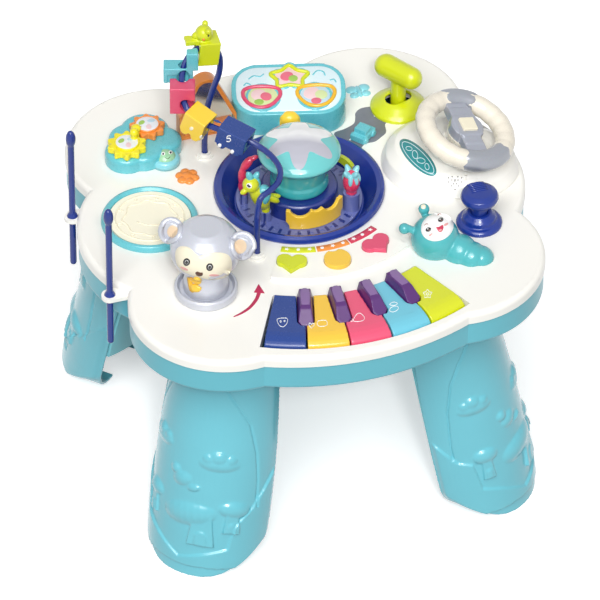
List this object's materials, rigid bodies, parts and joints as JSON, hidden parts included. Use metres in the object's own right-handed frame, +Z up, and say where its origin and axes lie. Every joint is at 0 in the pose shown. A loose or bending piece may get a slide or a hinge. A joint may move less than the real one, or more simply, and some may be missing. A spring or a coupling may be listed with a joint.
{
  "type": "musical activity table",
  "caption": "Low play table with a lobed top on four hollow legs, carrying a keyboard, turning carousel, drum, gears, steering wheel, levers and a train on a rail.",
  "frame": {"origin": "middle of the footprint on the floor", "axes": "+Z up, the keyboard side at -Y, the steering wheel side at +X"},
  "size_m": [0.4374, 0.4319, 0.45],
  "materials": {
    "black": "matte",
    "board_green": "matte",
    "cell": "satin",
    "clear_teal": "gloss",
    "cream": "satin",
    "crimson": "gloss",
    "gold": "gloss",
    "ivory": "gloss",
    "lime": "gloss",
    "mirror": "polished",
    "navy": "gloss",
    "orange": "gloss",
    "pink": "gloss",
    "purple": "gloss",
    "royal_blue": "gloss",
    "silver_plastic": "satin",
    "steel": "brushed",
    "teal": "gloss",
    "teal_deep": "gloss",
    "teal_pale": "gloss",
    "violet_blue": "gloss",
    "yellow": "gloss"
  },
  "bodies": {
    "table": {"top_shell": "ivory", "bottom_shell": "teal", "leg_front_left": "teal", "leg_front_right": "teal", "leg_back_left": "teal", "leg_back_right": "teal", "leg_liners": "teal_pale", "battery_door": "teal", "batteries": "cell", "circuit_board": "board_green", "speaker": "black", "case_screws": "steel", "button_panel": "ivory", "bowl": "royal_blue", "dome": "clear_teal", "rail": "navy", "mirror_frame": "orange", "mirror_glass": "mirror", "story_box": "teal", "joystick_base": "lime", "wheel_console": "ivory", "plunger_base": "royal_blue", "grub": "teal", "gear_cloud": "teal_deep", "monkey_base": "silver_plastic", "drum_ring": "teal"},
    "carousel": {"carousel": "violet_blue", "parrot": "lime", "red_bird": "crimson", "berry": "crimson", "wave_fence": "gold"},
    "power_switch": {"power_switch": "orange"},
    "key_1": {"key_1": "royal_blue"},
    "key_2": {"key_2": "yellow"},
    "key_3": {"key_3": "pink"},
    "key_4": {"key_4": "teal"},
    "key_5": {"key_5": "lime"},
    "half_key_1": {"half_key_1": "purple"},
    "half_key_2": {"half_key_2": "purple"},
    "half_key_3": {"half_key_3": "purple"},
    "half_key_4": {"half_key_4": "purple"},
    "button_lime": {"button_lime": "lime"},
    "button_yellow": {"button_yellow": "yellow"},
    "button_pink": {"button_pink": "pink"},
    "car_1": {"car_1": "lime"},
    "car_2": {"car_2": "teal_deep"},
    "car_3": {"car_3": "pink"},
    "car_4": {"car_4": "yellow"},
    "car_5": {"car_5": "royal_blue"},
    "toy_car": {"toy_car": "teal"},
    "joystick": {"joystick": "lime"},
    "steering_wheel": {"steering_wheel": "ivory"},
    "horn_button": {"horn_button": "cream"},
    "plunger_knob": {"plunger_knob": "royal_blue"},
    "yellow_gear": {"yellow_gear": "yellow"},
    "orange_gear": {"orange_gear": "orange"},
    "monkey": {"monkey": "silver_plastic"},
    "drum_head": {"drum_head": "cream"},
    "drumstick_1": {"drumstick_1": "navy"},
    "drumstick_2": {"drumstick_2": "navy"}
  },
  "joints": [
    {"name": "key_1_press", "type": "hinge", "parent": "table", "child": "key_1", "pos_m": [-0.05488, -0.12738, 0.253], "axis": [0.9348, -0.3551, 0], "range_deg": [0, 2.5], "stiffness_Nm_per_rad": 0.5, "springref_deg": -5.73},
    {"name": "key_2_press", "type": "hinge", "parent": "table", "child": "key_2", "pos_m": [-0.02643, -0.13532, 0.253], "axis": [0.9836, -0.1805, 0], "range_deg": [0, 2.5], "stiffness_Nm_per_rad": 0.5, "springref_deg": -5.73},
    {"name": "key_3_press", "type": "hinge", "parent": "table", "child": "key_3", "pos_m": [0.003, -0.138, 0.253], "axis": [1, 0, 0], "range_deg": [0, 2.5], "stiffness_Nm_per_rad": 0.5, "springref_deg": -5.73},
    {"name": "key_4_press", "type": "hinge", "parent": "table", "child": "key_4", "pos_m": [0.03243, -0.13532, 0.253], "axis": [0.9836, 0.1805, 0], "range_deg": [0, 2.5], "stiffness_Nm_per_rad": 0.5, "springref_deg": -5.73},
    {"name": "key_5_press", "type": "hinge", "parent": "table", "child": "key_5", "pos_m": [0.06088, -0.12738, 0.253], "axis": [0.9348, 0.3551, 0], "range_deg": [0, 2.5], "stiffness_Nm_per_rad": 0.5, "springref_deg": -5.73},
    {"name": "half_key_1_press", "type": "hinge", "parent": "table", "child": "half_key_1", "pos_m": [-0.04083, -0.132, 0.253], "axis": [0.9632, -0.2689, 0], "range_deg": [0, 2.5], "stiffness_Nm_per_rad": 0.5, "springref_deg": -5.73},
    {"name": "half_key_2_press", "type": "hinge", "parent": "table", "child": "half_key_2", "pos_m": [-0.01177, -0.13733, 0.253], "axis": [0.9959, -0.0906, 0], "range_deg": [0, 2.5], "stiffness_Nm_per_rad": 0.5, "springref_deg": -5.73},
    {"name": "half_key_3_press", "type": "hinge", "parent": "table", "child": "half_key_3", "pos_m": [0.01777, -0.13733, 0.253], "axis": [0.9959, 0.0906, 0], "range_deg": [0, 2.5], "stiffness_Nm_per_rad": 0.5, "springref_deg": -5.73},
    {"name": "half_key_4_press", "type": "hinge", "parent": "table", "child": "half_key_4", "pos_m": [0.04683, -0.132, 0.253], "axis": [0.9632, 0.2689, 0], "range_deg": [0, 2.5], "stiffness_Nm_per_rad": 0.5, "springref_deg": -5.73},
    {"name": "button_lime_press", "type": "slide", "parent": "table", "child": "button_lime", "axis": [0, 0, -1], "range_m": [0, 0.0025], "stiffness_N_per_m": 300, "springref_m": -0.003},
    {"name": "button_yellow_press", "type": "slide", "parent": "table", "child": "button_yellow", "axis": [0, 0, -1], "range_m": [0, 0.0025], "stiffness_N_per_m": 300, "springref_m": -0.003},
    {"name": "button_pink_press", "type": "slide", "parent": "table", "child": "button_pink", "axis": [0, 0, -1], "range_m": [0, 0.0025], "stiffness_N_per_m": 300, "springref_m": -0.003},
    {"name": "carousel_turn", "type": "hinge", "parent": "table", "child": "carousel", "pos_m": [0.003, 0.025, 0.28], "axis": [0, 0, 1], "continuous": true},
    {"name": "car_1_run", "type": "slide", "parent": "table", "child": "car_1", "axis": [0.9915, -0.0603, -0.1153], "range_m": [-0.003, 0.003]},
    {"name": "car_2_run", "type": "slide", "parent": "table", "child": "car_2", "axis": [0.4512, 0.4592, 0.7652], "range_m": [-0.003, 0.003]},
    {"name": "car_3_run", "type": "slide", "parent": "table", "child": "car_3", "axis": [0.0206, 0.6791, 0.7337], "range_m": [-0.003, 0.003]},
    {"name": "car_4_run", "type": "slide", "parent": "table", "child": "car_4", "axis": [-0.6106, 0.7316, 0.3033], "range_m": [-0.003, 0.003]},
    {"name": "car_5_run", "type": "slide", "parent": "table", "child": "car_5", "axis": [-0.7931, 0.5702, 0.2139], "range_m": [-0.003, 0.003]},
    {"name": "toy_car_run", "type": "slide", "parent": "table", "child": "toy_car", "axis": [0.766, 0.6428, 0], "range_m": [-0.002, 0.015]},
    {"name": "joystick_tilt", "type": "hinge", "parent": "table", "child": "joystick", "pos_m": [0.131, 0.114, 0.278], "axis": [-0.2588, 0.9659, 0], "range_deg": [-15, 15], "stiffness_Nm_per_rad": 0.3},
    {"name": "steering_turn", "type": "hinge", "parent": "table", "child": "steering_wheel", "pos_m": [0.152, 0.008, 0.3], "axis": [0.2791, -0.1677, 0.9455], "range_deg": [-90, 90]},
    {"name": "horn_press", "type": "slide", "parent": "steering_wheel", "child": "horn_button", "axis": [-0.2791, 0.1677, -0.9455], "range_m": [0, 0.002], "stiffness_N_per_m": 300, "springref_m": -0.003},
    {"name": "plunger_press", "type": "slide", "parent": "table", "child": "plunger_knob", "axis": [0, 0, -1], "range_m": [0, 0.01], "stiffness_N_per_m": 150, "springref_m": -0.006},
    {"name": "yellow_gear_turn", "type": "hinge", "parent": "table", "child": "yellow_gear", "pos_m": [-0.141, 0.115, 0.295], "axis": [0, 0, 1], "continuous": true},
    {"name": "orange_gear_turn", "type": "hinge", "parent": "table", "child": "orange_gear", "pos_m": [-0.11468, 0.1352, 0.295], "axis": [0, 0, 1], "continuous": true},
    {"name": "monkey_twist", "type": "hinge", "parent": "table", "child": "monkey", "pos_m": [-0.125, -0.091, 0.28], "axis": [0, 0, 1], "range_deg": [-45, 45]},
    {"name": "drum_press", "type": "slide", "parent": "table", "child": "drum_head", "axis": [0, 0, -1], "range_m": [0, 0.0015], "stiffness_N_per_m": 400, "springref_m": -0.003},
    {"name": "drumstick_1_lift", "type": "slide", "parent": "table", "child": "drumstick_1", "axis": [0, 0, 1], "range_m": [0, 0.07]},
    {"name": "drumstick_2_lift", "type": "slide", "parent": "table", "child": "drumstick_2", "axis": [0, 0, 1], "range_m": [0, 0.07]},
    {"name": "power_switch_slide", "type": "slide", "parent": "table", "child": "power_switch", "axis": [0, -1, 0], "range_m": [0, 0.005]}
  ],
  "couplings": [
    {"joint": "orange_gear_turn", "follows": "yellow_gear_turn", "ratio": -1.1111},
    {"joint": "car_2_run", "follows": "car_1_run", "ratio": 1},
    {"joint": "car_3_run", "follows": "car_1_run", "ratio": 1},
    {"joint": "car_4_run", "follows": "car_1_run", "ratio": 1},
    {"joint": "car_5_run", "follows": "car_1_run", "ratio": 1}
  ]
}
